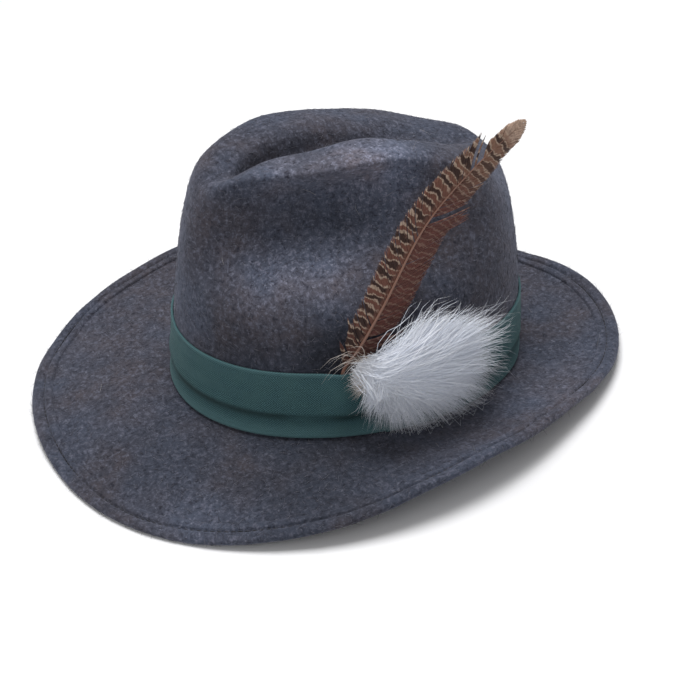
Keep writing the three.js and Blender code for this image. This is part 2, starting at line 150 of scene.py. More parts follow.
# %% [markdown]
# Four stretches make the outer surface: the brim, the small roll at the break line, the wall
# with its two pinches, and the top that falls into the crease. Each is a formula of the turn
# round the head and of a share t, so any point can be asked for at any fineness.

# %% The felt's surface as a formula
def pinch(u, climb):
    """How far the fingers' dents push the wall in."""
    push = 0
    for dent in DENTS:
        turn = (u - math.radians(dent["turn"]) + np.pi) % (2 * np.pi) - np.pi
        side = np.exp(-((turn / math.radians(dent["spread"])) ** DENT_EDGE))
        far = climb - dent["level"]
        over = np.exp(-((far / dent["above"]) ** 4))
        fall = np.where(far > 0, over, np.exp(-0.5 * (far / dent["below"]) ** 2))
        push = push + DENT_DEPTH * dent["depth"] * side * fall
    return push


def brim(u, t):
    """From the foot of the roll at 0 out to the edge at 1."""
    foot = break_point(u)
    rise = BRIM_LIFT * around(BRIM["lift"], u) - foot[..., 2]
    point = foot + outward(u) * mix(BREAK_ROLL, brim_width(u), t)[..., None]
    point[..., 2] += rise * mix(t, t * t, BRIM_CURL)
    return point


def roll(u, t):
    """The small round between the brim at 0 and the wall at 1."""
    angle = t * np.pi / 2
    point = break_point(u) + outward(u) * (BREAK_ROLL * (1 - np.sin(angle)))[..., None]
    point[..., 2] += BREAK_ROLL * (1 - np.cos(angle))
    return point


def wall(u, t):
    """From the roll at 0 up to the ridge at 1."""
    foot, ridge = break_point(u), ridge_point(u)
    start = BREAK_ROLL / (ridge[..., 2] - foot[..., 2])
    climb = start + (1 - start) * t
    lean = LEAN["mean"] + LEAN["front"] * np.cos(u)
    power = np.maximum(SHOULDER["mean"] + SHOULDER["front"] * np.cos(u), SHOULDER["least"])
    rounding = 1 - (1 - np.minimum(climb, 1) ** power) ** (1 / power)
    draw = lean * climb ** LEAN["power"] + (1 - lean) * rounding
    point = mix(foot, ridge, draw) - outward(u) * pinch(u, climb)[..., None]
    point[..., 2] = mix(foot[..., 2], ridge[..., 2], climb)
    return point


def top(u, t):
    """From the ridge at 0 down to the crease at 1."""
    ridge = wall(u, np.ones_like(u))
    c = np.cos(u)
    fall = CREASE_DEPTH + CREASE_PITCH * c + CREASE_FALL * c * c
    crease = [ridge[..., 0] * CREASE_FLOOR, CREASE_OFFSET - CREASE_LENGTH / 2 * c, CROWN_HEIGHT - fall]
    crease = np.stack(crease, -1)
    point = mix(ridge, crease, t + RIDGE_ROUND * np.sin(2 * np.pi * t) / (2 * np.pi))
    point[..., 2] = mix(ridge[..., 2], crease[..., 2], t * t * (3 - 2 * t))
    return point


all_round = np.radians(np.arange(360))
print("highest point of the crown:", wall(all_round, np.ones(360))[:, 2].max().round(1), "mm")

# %% [markdown]
# The felt has the same thickness all over. Its under side, and all that lies on it, is found by
# going in or out along the surface's own direction, which is measured over a small step.

# %% Points over and under the felt
def felt_normal(stretch, u, t, step=0.004):
    """Direction out of the felt, from the surface a small step away."""
    end = np.minimum(t + step, 1)
    along = stretch(u, end) - stretch(u, end - 2 * step)
    normal = unit(np.cross(stretch(u + step, t) - stretch(u - step, t), along))
    return -normal if stretch is brim else normal


def felt_point(stretch, u, t, raised):
    """A point raised from the outer surface along its normal."""
    u, t, raised = np.broadcast_arrays(u, t, raised)
    return stretch(u, t) + felt_normal(stretch, u, t) * raised[..., None]


def wall_share(u, height):
    """Place on the wall at a height above the break line."""
    tall = ridge_point(u)[..., 2] - break_point(u)[..., 2]
    return (height - BREAK_ROLL) / (tall - BREAK_ROLL)


print("the ribbon ends at share", wall_share(0.0, BAND_TOP).round(3), "of the wall in front")

# %% [markdown]
# A hat that is put down tips until the front and the back of its brim touch the table. The
# same search as in the solids finds that tilt: it halves the range until both sides are
# equally low. The solids' own box then says where the origin lies.

# %% The tilt at rest
TOP_SHARES = (1.0, 0.78, 0.5, 0.28, 0.12)
WALL_SHARES = (1.0, 0.995, 0.98, 0.955, 0.925, 0.89, 0.85, 0.8, 0.74, 0.66, 0.54, 0.36, 0.15)
EDGE = FELT + HEM_THICKNESS
columns = np.arange(60) / 60 * 2 * np.pi


def coarse_underside():
    """The under side of the felt, at the rows of the solids."""
    rows = [felt_point(top, columns, t, -FELT) for t in TOP_SHARES]
    rows += [felt_point(wall, columns, t, -FELT) for t in WALL_SHARES]
    rows += [felt_point(roll, columns, t, -FELT) for t in (1.0, 0.5, 0.0)]
    wide = brim_width(columns)
    hem = 1 - HEM_WIDTH / wide
    rows += [felt_point(brim, columns, t * hem, -FELT) for t in (0.2, 0.4, 0.6, 0.8, 1.0)]
    rows += [felt_point(brim, columns, 1 - HEM_WIDTH * 0.33 / wide, -FELT)]
    rows += [felt_point(brim, columns, 1 - EDGE * 0.35 / wide, -FELT)]
    rows += [felt_point(brim, columns, 1 - EDGE * 0.08 / wide, -FELT + EDGE * 0.2)]
    return np.concatenate(rows)


def find_rest():
    points = coarse_underside()

    def lowest(tilt, side):
        chosen = points[points[:, 1] * side > 0]
        return (chosen[:, 2] * np.cos(tilt) - chosen[:, 1] * np.sin(tilt)).min()

    low, high = math.radians(-20), math.radians(20)
    while high - low > 1e-9:
        middle = (low + high) / 2
        if lowest(middle, -1) < lowest(middle, 1):
            low = middle
        else:
            high = middle
    return low, lowest(low, 1) + SETTLE


TILT, FLOOR = find_rest()
COS, SIN = math.cos(TILT), math.sin(TILT)
edge_row = felt_point(brim, columns, 1.0, -FELT + EDGE * 0.5)
edge_y = edge_row[:, 1] * COS + edge_row[:, 2] * SIN
low_corner, high_corner = (np.array(corner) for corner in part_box("felt_body"))
SHIFT = (low_corner + high_corner) / 2 - np.array([edge_row[:, 0].min() + edge_row[:, 0].max(),
                                                   edge_y.min() + edge_y.max(), 0]) / 2 * MM
SHIFT[2] = 0
print("tilt", round(math.degrees(TILT), 2), "floor", round(FLOOR, 2), "shift", SHIFT.round(5))


def turn_over(vectors):
    """Directions in the hat's own frame, tipped to the hat at rest."""
    x, y, z = np.moveaxis(np.asarray(vectors, float), -1, 0)
    return np.stack([x, y * COS + z * SIN, z * COS - y * SIN], -1)


def settle(points, level=0.0):
    """Points in the hat's own frame, in mm, to the scene in metres, none lower than level."""
    out = turn_over(points) - [0, 0, FLOOR]
    out[..., 2] = np.maximum(out[..., 2], level)
    return out * MM + SHIFT


# %% [markdown]
# The photograph was taken from the wearer's front left and a little above. The camera was
# found by fitting the outline of the brim, the two edges of the ribbon and the crown. It
# stands over the hat's own frame, so it tips with the hat.

# %% Camera
PHOTO = 700
AZIMUTH, ELEVATION, ROLL = math.radians(64.80), math.radians(32.21), math.radians(0.63)
DISTANCE, FOCAL_PIXELS = 886.1, 1548.5
AIM_RIGHT, AIM_UP = 2.18, -1.25

back = np.array([math.sin(AZIMUTH) * math.cos(ELEVATION),
                 -math.cos(AZIMUTH) * math.cos(ELEVATION), math.sin(ELEVATION)])
level = np.array([math.cos(AZIMUTH), math.sin(AZIMUTH), 0])
upright = np.cross(back, level)
right = level * math.cos(ROLL) + upright * math.sin(ROLL)
up = upright * math.cos(ROLL) - level * math.sin(ROLL)
eye = settle(right * AIM_RIGHT + up * AIM_UP + back * DISTANCE)
axes = [Vector(turn_over(axis)) for axis in (right, up, back)]

camera = bpy.data.objects.new("camera", bpy.data.cameras.new("camera"))
bpy.context.scene.collection.objects.link(camera)
camera.data.sensor_width = 36
camera.data.lens = 36 * FOCAL_PIXELS / PHOTO
camera.data.clip_start = 0.01
camera.matrix_world = Matrix.Translation(Vector(eye)) @ Matrix(axes).transposed().to_4x4()
bpy.context.scene.camera = camera
print("camera at", eye.round(3), "lens", round(camera.data.lens, 1))

# %% [markdown]
# Soft studio light: a wide softbox high above, a weaker one from the camera's side, and an even
# white surround.

# %% Light
scene = bpy.context.scene
scene.view_settings.view_transform = "Standard"
scene.world = bpy.data.worlds.new("studio")
scene.world.use_nodes = True
surround = scene.world.node_tree.nodes["Background"]
surround.inputs["Color"].default_value = (1.0, 1.0, 1.0, 1)
surround.inputs["Strength"].default_value = 0.4
MIDDLE = Vector((0, 0, 0.06))  # of the hat


def softbox(name, place, size, power):
    """A square light that points at the hat."""
    light = bpy.data.lights.new(name, "AREA")
    light.size = size
    light.energy = power
    lamp = bpy.data.objects.new(name, light)
    scene.collection.objects.link(lamp)
    lamp.location = place
    lamp.rotation_euler = (MIDDLE - Vector(place)).to_track_quat("-Z", "Y").to_euler()
    print("light", name, "of", power, "W")


softbox("sky_softbox", (-0.22, 0.1, 1.6), 0.9, 25)
softbox("side_softbox", (0.9, -1.3, 1.0), 0.9, 4)

# %% [markdown]
# Shader maths reads like Python here. A Wire holds one output of a node, and + - * / on it add
# Math nodes. Every other node comes from its method node().

# %% A small language for materials
class Wire:
    """One output socket of a material's nodes."""

    def __init__(self, tree, socket=None):
        self.tree = tree
        self.socket = socket

    def node(self, kind, settings=None, inputs=None, output=0):
        """Adds a node: its settings first, then the values or links of its sockets."""
        made = self.tree.nodes.new(kind)
        for name, value in (settings or {}).items():
            setattr(made, name, value)
        for name, value in (inputs or {}).items():
            if isinstance(value, Wire):
                self.tree.links.new(value.socket, made.inputs[name])
            else:
                made.inputs[name].default_value = value
        return Wire(self.tree, made.outputs[output])

    def math(self, operation, *others):
        """A Math node whose first value is this wire."""
        return self.node("ShaderNodeMath", {"operation": operation}, dict(enumerate((self, *others))))

    def __add__(self, other):
        return self.math("ADD", other)

    def __sub__(self, other):
        return self.math("SUBTRACT", other)

    def __rsub__(self, other):
        return self * -1.0 + other

    def __mul__(self, other):
        return self.math("MULTIPLY", other)

    def __truediv__(self, other):
        return self.math("DIVIDE", other)

    def __abs__(self):
        return self.math("ABSOLUTE")

    __radd__ = __add__
    __rmul__ = __mul__

    def clip(self):
        """Kept between 0 and 1."""
        return self.node("ShaderNodeClamp", None, {"Value": self})

    def step(self, low, high):
        """Smoothly from 0 at low to 1 at high."""
        settings = {"interpolation_type": "SMOOTHSTEP"}
        inputs = {"Value": self, "From Min": low, "From Max": high}
        return self.node("ShaderNodeMapRange", settings, inputs)

    def blend(self, a, b):
        """Colour a where this wire is 0, b where it is 1."""
        a, b = (c if isinstance(c, Wire) else (*c, 1) for c in (a, b))
        inputs = {0: self, 6: a, 7: b}
        return self.node("ShaderNodeMix", {"data_type": "RGBA"}, inputs, output=2)

    def brighter(self, factor):
        """This colour times a factor."""
        return self.node("ShaderNodeVectorMath", {"operation": "SCALE"}, {0: self, "Scale": factor})

    def shares(self):
        """The two numbers that a piece's UV map keeps."""
        where = self.node("ShaderNodeTexCoord", output="UV")
        return [self.node("ShaderNodeSeparateXYZ", None, {0: where}, output=axis) for axis in "XY"]

    def noise(self, size, detail=2.0, rough=0.5, stretch=(1, 1, 1), warp=0.0):
        """Cloudy noise from 0 to 1 in the piece, with blobs of about size millimetres."""
        where = self.node("ShaderNodeTexCoord", output="Object")
        fine = [1 / (size * MM * share) for share in stretch]
        moved = self.node("ShaderNodeVectorMath", {"operation": "MULTIPLY"}, {0: where, 1: fine})
        inputs = {"Vector": moved, "Scale": 1.0, "Detail": detail, "Roughness": rough,
                  "Distortion": warp}
        return self.node("ShaderNodeTexNoise", None, inputs)


# %% [markdown]
# A finish is a recipe: a function that gets a first wire and gives back what the sockets of the
# Principled shader hold. Plain values are set on the socket itself, and only wires are linked.

# %% Materials from recipes
def finish(name, recipe):
    """A material whose recipe gives the values or wires of the Principled shader."""
    made = bpy.data.materials.new(name)
    made.use_nodes = True
    tree = made.node_tree
    shader = tree.nodes["Principled BSDF"]
    for socket, value in recipe(Wire(tree)).items():
        if isinstance(value, Wire):
            tree.links.new(value.socket, shader.inputs[socket])
        else:
            shader.inputs[socket].default_value = value
    print("material", name, "with", len(tree.nodes), "nodes")
    return made


def bump(wire, height, distance):
    """Relief of a height from 0 to 1, distance in millimetres at 1."""
    return wire.node("ShaderNodeBump", None, {"Height": height, "Distance": distance * MM})


# %% [markdown]
# Every piece is a mesh from rows of points. This helper joins the rows with quads, closes them
# where asked, and keeps two numbers per corner as a UV map, which the materials read.

# %% From rows of points to a piece
def make_piece(name, points, faces, material, node, uv=None):
    """A piece of the hat that rides on it and stands for one of its solids."""
    mesh = bpy.data.meshes.new(name)
    mesh.from_pydata(np.asarray(points).tolist(), [], [list(map(int, f)) for f in faces])
    if uv is not None:
        layer = mesh.uv_layers.new(name="share")
        corner = np.empty(len(mesh.loops), np.int32)
        mesh.loops.foreach_get("vertex_index", corner)
        layer.data.foreach_set("uv", np.asarray(uv, np.float32)[corner].ravel())
    mesh.polygons.foreach_set("use_smooth", [True] * len(mesh.polygons))
    mesh.materials.append(material)
    mesh.update()
    piece = bpy.data.objects.new(name, mesh)
    scene.collection.objects.link(piece)
    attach(piece, "root")
    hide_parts(node)
    triangles = sum(len(f.vertices) - 2 for f in mesh.polygons)
    print("piece", name, "with", triangles, "triangles")


def quads(rows, count, round_rows=True):
    """Faces between rows of count points each, with the last row joined to the first."""
    r, i = np.meshgrid(np.arange(rows if round_rows else rows - 1), np.arange(count), indexing="ij")
    j, s = (i + 1) % count, (r + 1) % rows
    return np.stack([r * count + i, r * count + j, s * count + j, s * count + i], -1).reshape(-1, 4)


# %% [markdown]
# The felt is painted lighter and darker in soft patches. Most of them are painted light and shade:
# lighter where the pinch faces up, on the ridge and its shoulder, and on the brim's edge and far side;
# darker low on the wall and further back. The brim is also darker towards the front. Each patch is a
# soft ball round a place on the surface.

# %% Painted light and shade on the felt
LIGHT_AND_SHADE_PATCHES = [
    {"on": wall, "turn": 42, "share": 0.62, "radius": 40, "lighter": 0.65},
    {"on": wall, "turn": 68, "share": 0.62, "radius": 36, "lighter": 0.55},
    {"on": wall, "turn": 84, "share": 0.98, "radius": 40, "lighter": 1.4},
    {"on": wall, "turn": 45, "share": 0.98, "radius": 30, "lighter": 0.65},
    {"on": wall, "turn": 98, "share": 0.84, "radius": 34, "lighter": 0.5},
    {"on": wall, "turn": 66, "share": 0.33, "radius": 36, "lighter": -0.6},
    {"on": wall, "turn": 32, "share": 0.33, "radius": 36, "lighter": -0.35},
    {"on": wall, "turn": 120, "share": 0.5, "radius": 50, "lighter": -0.2},
    {"on": brim, "turn": 60, "share": 0.4, "radius": 80, "lighter": -0.5},
    {"on": brim, "turn": 20, "share": 0.4, "radius": 60, "lighter": -0.25},
    {"on": brim, "turn": 40, "share": 1.0, "radius": 50, "lighter": 0.3},
    {"on": brim, "turn": 130, "share": 0.6, "radius": 60, "lighter": 0.34},
]


def painted_light_and_shade(w):
    """Soft patches of painted light and shade, as one factor round 1."""
    where = w.node("ShaderNodeTexCoord", output="Object")
    factor = 1.0
    for patch in LIGHT_AND_SHADE_PATCHES:
        turn, share = (np.array([value]) for value in (math.radians(patch["turn"]), patch["share"]))
        centre = settle(patch["on"](turn, share))[0].tolist()
        far = w.node("ShaderNodeVectorMath", {"operation": "DISTANCE"}, {0: where, 1: centre}, "Value")
        factor = far.step(patch["radius"] * MM, 0.0) * patch["lighter"] + factor
    return factor


print("worn patches:", len(LIGHT_AND_SHADE_PATCHES))

# %% [markdown]
# The wool of this felt was dyed in several greys before it was felted, so close up it is a
# tangle of blue-grey, brown-grey and pale fibres. Cloudy noise at four scales gives the
# mottling, and noise that is stretched along three crossing directions gives the fibres.

# %% Wool felt
BROWN_GREY, BLUE_GREY = (0.060, 0.053, 0.062), (0.050, 0.058, 0.083)
DEEP_GREY, SLATE = (0.036, 0.040, 0.056), (0.034, 0.037, 0.051)
PALE_WOOL, BLACK_WOOL, SILVER_WOOL = (0.108, 0.111, 0.148), (0.016, 0.016, 0.024), (0.165, 0.172, 0.22)


def wool(w):
    crossing = ((5, 1, 2), (1, 5, 2), (2.5, 2.5, 1))
    streaks = [w.noise(1.1, 3, 0.6, stretch, 0.4) for stretch in crossing]
    tangle = (streaks[0] + streaks[1] + streaks[2]) / 3
    flecks = w.noise(2.6, 5, 0.75, warp=0.4)
    tone = w.noise(45).step(0.4, 0.62).blend(BROWN_GREY, BLUE_GREY)
    tone = (w.noise(15, 3, 0.6).step(0.35, 0.68) * 0.55).blend(tone, DEEP_GREY)
    tone = (w.noise(7, 3, 0.6).step(0.46, 0.62) * 0.4).blend(tone, SLATE)
    tone = (flecks.step(0.5, 0.66) * 0.8).blend(tone, PALE_WOOL)
    tone = (flecks.step(0.48, 0.34) * 0.85).blend(tone, BLACK_WOOL)
    tone = (tangle.step(0.53, 0.66) * 0.65).blend(tone, SILVER_WOOL)
    relief = tangle * 0.6 + flecks * 0.4
    # The base colour is scaled by the patches of painted light and shade.
    return {"Base Color": tone.brighter(painted_light_and_shade(w)), "Roughness": 0.95, "Specular IOR Level": 0.12,
            "Sheen Weight": 0.2, "Sheen Roughness": 0.5, "Sheen Tint": (0.65, 0.7, 0.9, 1),
            "Normal": bump(w, relief, 0.9)}


wool_felt = finish("wool_felt", wool)

# %% [markdown]
# The felt is one closed skin: it runs from the crease down the inside of the crown, out under
# the brim, round its turned and stitched edge, and back up the outside. It is listed as rows
# first, closer together on the outside, where they show.

# %% Rows of the felt
FELT_COLUMNS = 336
FELT_ROWS = {"top": 30, "wall": 64, "brim": 40}
LUMP_SIZE, LUMP_HEIGHT = 24, 0.9


def lumps(points, size, strength):
    """Soft unevenness of hand-blocked felt, in mm, the same on both sides of the wall."""
    flat = points.reshape(-1, 3) / size
    return strength * np.array([noise.noise(p) for p in flat.tolist()]).reshape(points.shape[:-1])


def felt_rows():
    """Rows of (stretch, share, raised), from the crease's inside round the edge to its top."""
    wide = brim_width(turns)
    inside, outside = [], []
    for rows, fine, raised in ((inside, 0.5, -FELT), (outside, 1.0, 0.0)):
        for t in np.linspace(1, 0, int(FELT_ROWS["top"] * fine), endpoint=False):
            rows.append((top, t + 0 * turns, raised))
        for t in np.linspace(0, 1, int(FELT_ROWS["wall"] * fine), endpoint=False):
            rows.append((wall, 1 - t**2.2 + 0 * turns, raised))
        for t in (1.0, 0.75, 0.5, 0.25):
            rows.append((roll, t + 0 * turns, raised))
        for t in np.linspace(0, 1, int(FELT_ROWS["brim"] * fine)):
            rows.append((brim, t * (1 - (HEM_WIDTH + 0.4) / wide), raised))
    rim = [(brim, 1 - inset / wide, raised) for inset, raised in hem_profile()]
    return inside + rim + outside[::-1]


def hem_profile():
    """Inset from the edge and height of the hem, from under the edge to its raw inner edge."""
    profile = [(inset, -FELT) for inset in (10, 8, 6, 4.5, 3.3, 2.4)]
    for angle in np.radians(np.linspace(-78, 78, 9)):
        profile.append((EDGE * 0.5 * (1 - math.cos(angle)), -FELT + EDGE * 0.5 * (1 + math.sin(angle))))
    for inset in np.arange(2.4, HEM_WIDTH - 0.5, 0.4):
        groove = math.exp(-0.5 * ((inset - STITCH_INSET) / 0.55) ** 2)
        puff = 0.35 * math.sin(math.pi * inset / STITCH_INSET) if inset < STITCH_INSET else 0.15
        profile.append((inset, HEM_THICKNESS + puff * (1 - groove) - (STITCH_GROOVE + 0.3) * groove))
    profile += [(HEM_WIDTH - 0.15, HEM_THICKNESS - 0.35), (HEM_WIDTH, 0.5), (HEM_WIDTH + 0.15, 0.02)]
    return profile


turns = np.arange(FELT_COLUMNS) / FELT_COLUMNS * 2 * np.pi
rows = felt_rows()
inner_rows = sum(raised == -FELT for _, _, raised in rows)
print("rows of the felt:", len(rows), "of which", inner_rows, "lie inside")

# %% [markdown]
# Soft lumps of under a millimetre take away the smoothness of a formula. They fade out towards
# the ribbon and the break line, so that nothing cuts into its neighbour. The crease's two small
# end rings are closed with quads across them.

# %% Skin of the felt
rings = []
for stretch, t, raised in rows:
    bare = stretch(turns, t)
    high = np.clip((bare[:, 2] - 55) / 25, 0, 1) if stretch in (wall, top) else 0
    out = np.clip((t - 0.1) / 0.4, 0, 1) if stretch is brim else 0
    sway = lumps(bare, LUMP_SIZE, LUMP_HEIGHT) * (high + out)
    points = bare + felt_normal(stretch, turns, t) * (raised + sway)[:, None]
    rings.append(settle(points, max(raised + FELT, 0)))
faces = quads(len(rings), FELT_COLUMNS, round_rows=False).tolist()
half = np.arange(FELT_COLUMNS // 2)
other = (FELT_COLUMNS - half) % FELT_COLUMNS
across = np.stack([half, half + 1, (other - 1) % FELT_COLUMNS, other], -1)
last = (len(rings) - 1) * FELT_COLUMNS
for cap in (across[:, ::-1], across + last):
    faces += [list(dict.fromkeys(corners)) for corners in cap.tolist()]
make_piece("hat_felt", np.concatenate(rings), faces, wool_felt, "felt_body")

# %% [markdown]
# Threads, down and the barbs of a feather are all long thin things on a curved path. One helper
# makes thousands of them at once: it puts a small ring of corners round every point of each
# path and joins the rings. Every thread is closed at both ends.

# %% Threads along paths
def travelled(line):
    """How far along a line each of its points lies."""
    return np.concatenate([[0], np.cumsum(np.linalg.norm(np.diff(line, axis=0), axis=1))])


def read_off(at, marks, values):
    """Points or directions at places between marks."""
    return np.stack([np.interp(at, marks, values[:, k]) for k in range(3)], -1)


def strands(paths, wide, sides=3, flat=1.0, facing=(0.0, 0.0, 1.0)):
    """Closed threads: paths is (threads, places, xyz) in metres, wide their radius there."""
    tangent = unit(np.gradient(paths, axis=1) + 1e-12)
    side = unit(np.cross(tangent, np.broadcast_to(facing, paths.shape)))
    over = np.cross(side, tangent)
    turn = np.arange(sides) / sides * 2 * np.pi
    ring = side[:, :, None] * np.cos(turn)[:, None] + over[:, :, None] * (flat * np.sin(turn)[:, None])
    points = paths[:, :, None] + ring * wide[:, :, None, None]
    threads, places = paths.shape[:2]
    n, m, i = np.meshgrid(np.arange(threads), np.arange(places - 1), np.arange(sides), indexing="ij")
    start = (n * places + m) * sides
    j = (i + 1) % sides
    walls = np.stack([start + i, start + j, start + sides + j, start + sides + i], -1).reshape(-1, 4)
    first = np.arange(threads)[:, None] * places * sides
    root = first + np.arange(sides)[::-1]
    tip = first + (places - 1) * sides + np.arange(sides)
    along = np.broadcast_to(np.linspace(0, 1, places)[None, :, None], points.shape[:3])
    return points.reshape(-1, 3), [*walls.tolist(), *root.tolist(), *tip.tolist()], along.reshape(-1)


# %% [markdown]
# Wool felt is never bald. Loose fibres lie over it and stand out along its outline, some of
# them much paler than the rest. They are scattered by area over the mesh, each one a short
# curved thread that starts inside the felt.

# %% Loose fibres of the felt
def scatter(grid, number, dice):
    """Random places on rings of points, as many per area everywhere, with their normals."""
    a, b = grid[:-1], grid[1:]
    a2, b2 = np.roll(a, -1, 1), np.roll(b, -1, 1)
    normal = np.cross(a2 - a, b - a)
    area = np.linalg.norm(normal, axis=-1).ravel()
    pick = dice.choice(area.size, number, p=area / area.sum())
    corners = [corner.reshape(-1, 3)[pick] for corner in (a, a2, b, b2)]
    s, t = dice.random((2, number, 1))
    near = corners[0] * (1 - s) + corners[1] * s
    far = corners[2] * (1 - s) + corners[3] * s
    return near * (1 - t) + far * t, unit(normal.reshape(-1, 3)[pick])


FIBRE_ARCH, FIBRE_ROOT = 0.12, 0.06  # mm out in the middle, and in at the root


def fibres(name, number, length, thick, lift, material, seed):
    """Short threads all over the outer side, with their length, thickness and lift in mm."""
    dice = np.random.default_rng(seed)
    place, normal = scatter(outer, number, dice)
    aim = dice.normal(size=(number, 3))
    aim = unit(aim - normal * (aim * normal).sum(-1, keepdims=True))
    bend = np.cross(normal, aim) * dice.normal(0, 0.3, (number, 1))
    size = length * MM * dice.uniform(0.5, 1.4, (number, 1))
    rise = lift * MM * dice.random((number, 1)) ** 2
    f = np.array([0.0, 0.35, 0.7, 1.0])[None, :, None]
    arch = rise[:, None] * f + FIBRE_ARCH * MM * np.sin(np.pi * f) - FIBRE_ROOT * MM * (f < 0.1)
    arch = normal[:, None] * arch
    paths = place[:, None] + (aim[:, None] * f + bend[:, None] * f * f) * size[:, None] + arch
    paths[:, :, 2] = np.maximum(paths[:, :, 2], 0.2 * MM)
    wide = thick * MM * np.array([0.7, 1.0, 0.8, 0.3])[None] * dice.uniform(0.7, 1.3, (number, 1))
    points, faces, along = strands(paths, wide, facing=normal[:, None])
    tone = np.repeat(dice.random(number), len(points) // number)
    make_piece(name, points, faces, material, "felt_body", np.stack([tone, along], -1))


def fibre_recipe(low, high):
    """A recipe for fibres whose tones lie between two colours."""
    def recipe(w):
        tone, _ = w.shares()
        return {"Base Color": tone.blend(low, high), "Roughness": 0.8, "Specular IOR Level": 0.2}
    return recipe


pale_fibre = finish("pale_fibre", fibre_recipe((0.08, 0.084, 0.11), (0.22, 0.215, 0.25)))
dark_fibre = finish("dark_fibre", fibre_recipe((0.02, 0.02, 0.027), (0.085, 0.075, 0.085)))
lint = finish("lint", fibre_recipe((0.22, 0.21, 0.23), (0.5, 0.48, 0.48)))
outer = np.array(rings[inner_rows:])
fibres("felt_fibres_pale", 8100, length=3.6, thick=0.055, lift=0.8, material=pale_fibre, seed=11)
fibres("felt_fibres_dark", 7300, length=3.6, thick=0.06, lift=0.6, material=dark_fibre, seed=12)
fibres("felt_lint", 46, length=9.0, thick=0.07, lift=1.5, material=lint, seed=13)

# %% [markdown]
# The brim's edge is turned over on its upper side and sewn down with one row of stitches. The
# thread pulls the felt into a groove, and each stitch shows as a short dark bar in it.

# %% Stitches of the hem
STITCH_LENGTH, THREAD_RADIUS = 3.6, 0.26


def stitch_row():
    fine = np.arange(3600) / 3600 * 2 * np.pi
    groove = HEM_THICKNESS - STITCH_GROOVE - 0.25
    inset = 1 - STITCH_INSET / brim_width(fine)
    line = settle(felt_point(brim, fine, inset, groove + 0.22), FELT)
    normal = turn_over(felt_normal(brim, fine, inset))
    travel = travelled(line)
    number = int(travel[-1] / (STITCH_LENGTH * MM))
    f = np.linspace(0, 1, 6)
    at = (np.arange(number)[:, None] + 0.12 + 0.76 * f[None]) / number * travel[-1]
    paths, facing = read_off(at, travel, line), read_off(at, travel, normal)
    paths += facing * (0.5 * MM * (np.sin(np.pi * f) - 1.0))[None, :, None]
    wide = np.full(at.shape, THREAD_RADIUS * MM)
    print("stitches:", number)
    return strands(paths, wide, 6, 1.0, facing)


thread = finish("dark_thread", lambda w: {"Base Color": (0.018, 0.018, 0.024, 1), "Roughness": 0.7})
points, faces, _ = stitch_row()
make_piece("hem_stitches", points, faces, thread, "felt_body")

# %% [markdown]
# The ribbon is a matt green herringbone twill. It lies flat against the crown, is tucked along
# its lower third so that a soft fold hangs over the strip below, and flares out over the roll
# of the brim. Its free end lies over its start on the wearer's left.

# %% Ribbon cloth
RIBBON_UV = 600, 100  # mm along and across the ribbon at 1 in its UV map
CHEVRON, RIB, WEFT = 5.0, 1.5, 0.8  # mm from one to the next
DARK_GREEN, LIGHT_GREEN, SOFT_GREEN = (0.011, 0.041, 0.048), (0.066, 0.148, 0.163), (0.05, 0.115, 0.115)
# The fold's colour is painted shadow. The last green is painted light on the low strips that flare out
# and face up, and also makes a lighter line along the top edge.
FOLD_SHADOW, EDGE_AND_LIT_GREEN = (0.006, 0.022, 0.024), (0.09, 0.185, 0.20)


def twill(w):
    along, height = (share * size for share, size in zip(w.shares(), RIBBON_UV))
    zigzag = (height / CHEVRON).math("PINGPONG", 1.0) * CHEVRON
    rib = ((along + zigzag * 1.2) * (2 * math.pi / RIB)).math("SINE") * 0.5 + 0.5
    weft = (height * (2 * math.pi / WEFT)).math("SINE") * 0.5 + 0.5
    weave = rib * 0.6 + weft * 0.2 + w.noise(0.9, 2, 0.7) * 0.35
    tone = weave.step(0.2, 1.0).blend(DARK_GREEN, LIGHT_GREEN)
    tone = (w.noise(9, 3, 0.6).step(0.35, 0.7) * 0.35).blend(tone, SOFT_GREEN)
    # Painted shadow under the ribbon's fold, in soft patches along it.
    fold = height.step(8.5, 12.5) * height.step(16.0, 13.0) * w.noise(34, 1).step(0.3, 0.6)
    tone = (fold * 0.8).blend(tone, FOLD_SHADOW)
    # A lighter line along the top edge, and painted light on the lower strip and the foot, which flare
    # out and face up.
    edges = height.step(35.8, 36.6) * 0.5 + height.step(10.0, 3.0) * 0.9 + height.step(3.2, 1.6) * 0.5
    tone = (edges * 0.6).clip().blend(tone, EDGE_AND_LIT_GREEN)
    return {"Base Color": tone, "Roughness": 0.75, "Specular IOR Level": 0.25, "Sheen Weight": 0.12,
            "Sheen Roughness": 0.4, "Sheen Tint": (0.6, 0.85, 0.85, 1), "Normal": bump(w, weave, 0.25)}


ribbon_cloth = finish("ribbon_cloth", twill)

# %% [markdown]
# The ribbon is one closed band, swept round the crown from a profile of heights and how far
# each stands out. Its seam lies at the free end of the lap, where the cloth is double.

